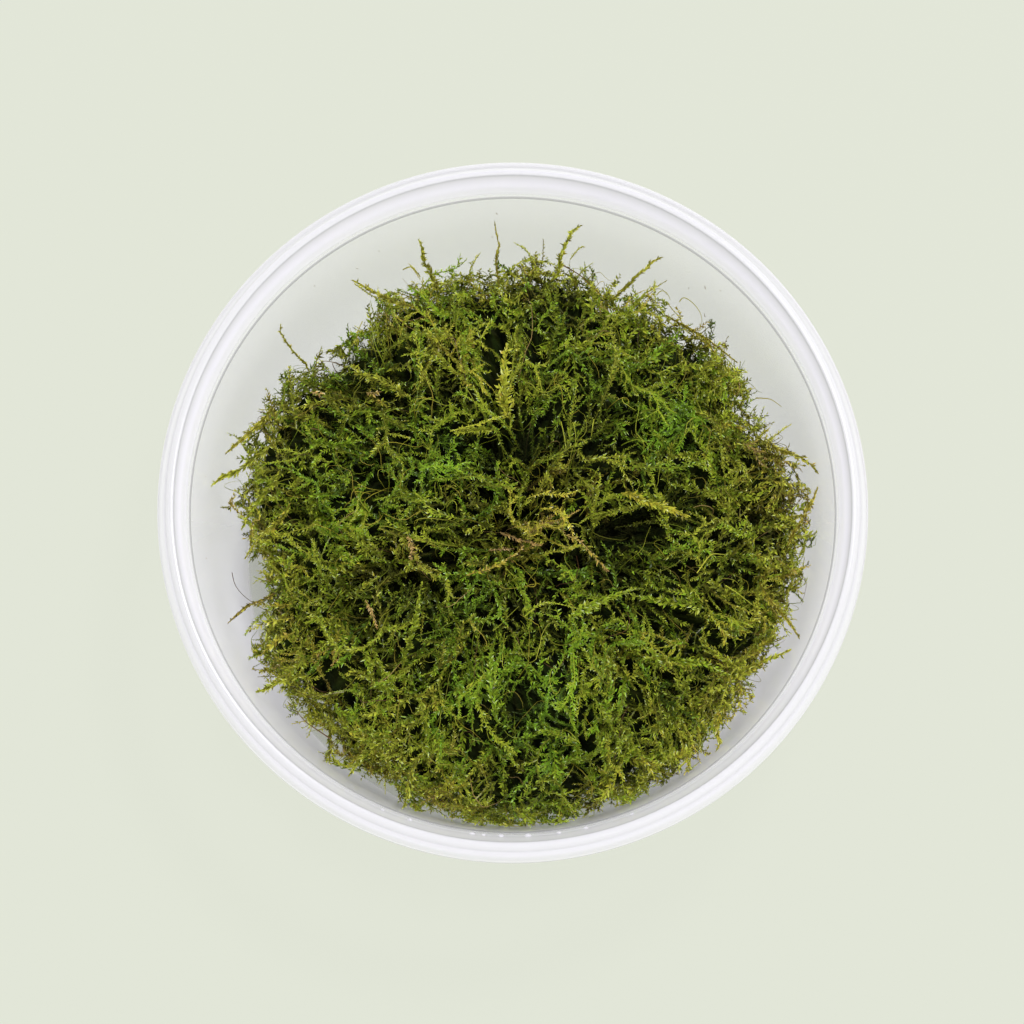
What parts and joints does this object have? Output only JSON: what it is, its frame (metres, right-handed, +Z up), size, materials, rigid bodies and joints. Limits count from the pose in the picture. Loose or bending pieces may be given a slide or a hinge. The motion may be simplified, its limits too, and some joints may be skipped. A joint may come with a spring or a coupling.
{
  "type": "potted christmas moss",
  "caption": "Clear round plastic pot filled to just under its rim with a springy cushion of aquarium moss, with feathery fronds standing out of it.",
  "frame": {"origin": "middle of the pot's foot ring, on the surface that the pot stands on", "axes": "+Z up out of the pot's mouth, +Y to the far side and +X to the right as the picture shows it"},
  "size_m": [0.1, 0.1, 0.05],
  "materials": {
    "clear_plastic": "clear, slightly milky moulded plastic, glossy",
    "moss": "tangle of small green leaves, matt and damp",
    "frond": "feathery yellow-green shoots, satin"
  },
  "bodies": {
    "root": {"pot": "clear_plastic", "moss_cushion": "moss", "frond_01": "frond", "frond_02": "frond", "frond_03": "frond", "frond_04": "frond", "frond_05": "frond", "frond_06": "frond", "frond_07": "frond", "frond_08": "frond", "frond_09": "frond", "frond_10": "frond", "frond_11": "frond", "frond_12": "frond", "frond_13": "frond", "frond_14": "frond", "frond_15": "frond", "frond_16": "frond", "frond_17": "frond", "frond_18": "frond", "frond_19": "frond", "frond_20": "frond", "frond_21": "frond", "frond_22": "frond", "frond_23": "frond", "frond_24": "frond", "frond_25": "frond", "frond_26": "frond", "frond_27": "frond", "frond_28": "frond", "frond_29": "frond", "frond_30": "frond"}
  },
  "joints": []
}
